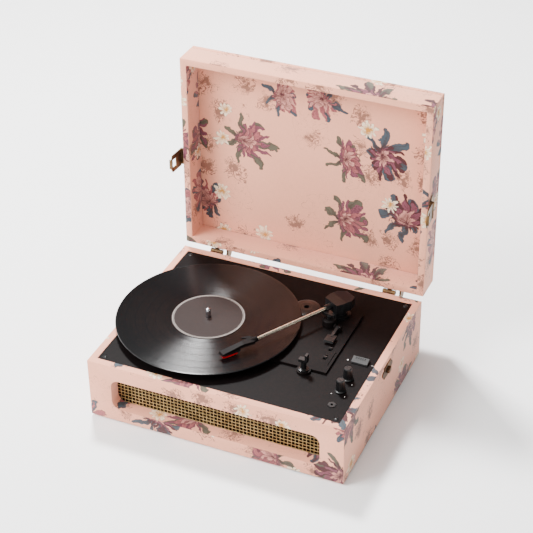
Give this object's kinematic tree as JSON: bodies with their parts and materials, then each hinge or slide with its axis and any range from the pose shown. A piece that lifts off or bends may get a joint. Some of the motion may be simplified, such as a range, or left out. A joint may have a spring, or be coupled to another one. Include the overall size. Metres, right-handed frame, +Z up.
{
  "type": "suitcase record player",
  "caption": "Portable record player in a cloth-covered case with a hinged lid, belt-driven platter, tonearm, front grille, knobs and side latches.",
  "frame": {"origin": "on the floor, under the middle of the open player's bounding box", "axes": "+Z up, +Y towards the back of the case and its hinges, +X to the viewer's right"},
  "size_m": [0.3822, 0.3444, 0.3887],
  "materials": {
    "cloth_case": "cloth-covered board",
    "bare_board": "raw board",
    "black_deck": "satin black",
    "black_plastic": "gloss black",
    "vinyl": "grooved black",
    "red_plastic": "gloss red",
    "black_rubber": "matt",
    "felt": "felt",
    "steel": "brushed",
    "grille_metal": "black and gold mesh",
    "champagne_tube": "satin anodised",
    "antique_bronze": "antique",
    "circuit": "printed board"
  },
  "bodies": {
    "base": {"base_front_board": "cloth_case", "base_back_board": "cloth_case", "base_left_board": "cloth_case", "base_right_board": "cloth_case", "base_bottom_board": "bare_board", "foot_front_left": "black_rubber", "foot_front_right": "black_rubber", "foot_back_left": "black_rubber", "foot_back_right": "black_rubber", "speaker_grille": "grille_metal", "speaker_left": "black_plastic", "speaker_right": "black_plastic", "deck_frame": "bare_board", "deck_plate": "black_deck", "motor": "steel", "drive_belt": "black_rubber", "spindle": "steel", "main_circuit_board": "circuit", "control_board": "circuit", "headphone_jack": "black_plastic", "rear_jack_plate": "black_plastic", "dc_inlet_socket": "black_plastic", "rca_socket_pair": "steel", "arm_chassis": "black_plastic", "arm_pillar": "black_plastic", "arm_rest": "black_plastic", "adapter_45": "black_plastic", "hinge_left_base_leaf": "antique_bronze", "hinge_right_base_leaf": "antique_bronze", "latch_left_catch": "antique_bronze", "latch_right_catch": "antique_bronze", "handle_bracket": "antique_bronze"},
    "lid": {"lid_panel": "cloth_case", "lid_frame": "cloth_case", "hinge_left_lid_leaf": "antique_bronze", "hinge_right_lid_leaf": "antique_bronze", "latch_left_lid_plate": "antique_bronze", "latch_right_lid_plate": "antique_bronze"},
    "left_hasp": {"latch_left_hasp": "antique_bronze"},
    "right_hasp": {"latch_right_hasp": "antique_bronze"},
    "turntable": {"platter": "steel", "slip_mat": "felt", "vinyl_record": "vinyl"},
    "pulley": {"motor_pulley": "steel"},
    "arm_swivel": {"arm_yoke": "black_plastic"},
    "arm_beam": {"arm_housing": "black_plastic", "arm_tube": "champagne_tube", "headshell": "black_plastic", "cartridge": "black_plastic", "stylus": "red_plastic"},
    "cue": {"cue_lever": "black_plastic"},
    "lifter": {"arm_lifter": "black_plastic"},
    "volume": {"volume_knob": "black_plastic"},
    "tone": {"tone_knob": "black_plastic"},
    "source": {"source_switch_knob": "black_plastic"},
    "speed": {"speed_switch_knob": "black_plastic"},
    "auto_stop": {"auto_stop_switch_knob": "black_plastic"},
    "carry": {"handle": "black_plastic"}
  },
  "joints": [
    {"name": "lid_hinge", "type": "hinge", "parent": "base", "child": "lid", "pos_m": [0.00192, 0.12432, 0.0922], "axis": [1, 0, 0], "range_deg": [0, 76]},
    {"name": "left_hasp_hinge", "type": "hinge", "parent": "lid", "child": "left_hasp", "pos_m": [-0.18208, 0.1312, 0.2346], "axis": [0, -0.0175, -0.9998], "range_deg": [-4, 130]},
    {"name": "right_hasp_hinge", "type": "hinge", "parent": "lid", "child": "right_hasp", "pos_m": [0.18592, 0.1312, 0.2346], "axis": [0, 0.0175, 0.9998], "range_deg": [-4, 130]},
    {"name": "platter_spin", "type": "hinge", "parent": "base", "child": "turntable", "pos_m": [-0.06608, -0.03718, 0.0996], "axis": [0, 0, 1], "continuous": true},
    {"name": "pulley_spin", "type": "hinge", "parent": "base", "child": "pulley", "pos_m": [-0.12053, 0.01726, 0.095], "axis": [0, 0, 1], "continuous": true},
    {"name": "tonearm_swing", "type": "hinge", "parent": "base", "child": "arm_swivel", "pos_m": [0.08992, 0.04682, 0.103], "axis": [0, 0, 1], "range_deg": [-13.3, 31.1]},
    {"name": "tonearm_lift", "type": "hinge", "parent": "arm_swivel", "child": "arm_beam", "pos_m": [0.08992, 0.04682, 0.1146], "axis": [-0.8599, 0.5105, 0], "range_deg": [0, 3.2]},
    {"name": "cue_lever_turn", "type": "hinge", "parent": "base", "child": "cue", "pos_m": [0.10092, 0.01082, 0.099], "axis": [-1, 0, 0], "range_deg": [0, 18]},
    {"name": "arm_lifter_rise", "type": "slide", "parent": "base", "child": "lifter", "axis": [0, 0, 1], "range_m": [0, 0.00157]},
    {"name": "volume_turn", "type": "hinge", "parent": "base", "child": "volume", "pos_m": [0.14942, -0.10218, 0.0916], "axis": [0, 0, 1], "range_deg": [-150, 150]},
    {"name": "tone_turn", "type": "hinge", "parent": "base", "child": "tone", "pos_m": [0.14942, -0.07618, 0.0916], "axis": [0, 0, 1], "range_deg": [-150, 150]},
    {"name": "source_slide", "type": "slide", "parent": "base", "child": "source", "axis": [1, 0, 0], "range_m": [-0.004, 0.004]},
    {"name": "speed_slide", "type": "slide", "parent": "base", "child": "speed", "axis": [0, 1, 0], "range_m": [-0.003, 0.003]},
    {"name": "auto_stop_slide", "type": "slide", "parent": "base", "child": "auto_stop", "axis": [0, 1, 0], "range_m": [-0.003, 0.003]},
    {"name": "handle_swing", "type": "hinge", "parent": "base", "child": "carry", "pos_m": [0.00192, 0.12832, 0.056], "axis": [1, 0, 0], "range_deg": [0, 95]}
  ],
  "couplings": [
    {"joint": "pulley_spin", "follows": "platter_spin", "ratio": 10.739},
    {"joint": "tonearm_lift", "follows": "cue_lever_turn", "ratio": 0.17778},
    {"joint": "arm_lifter_rise", "follows": "cue_lever_turn", "m_per_rad": 0.004982}
  ]
}
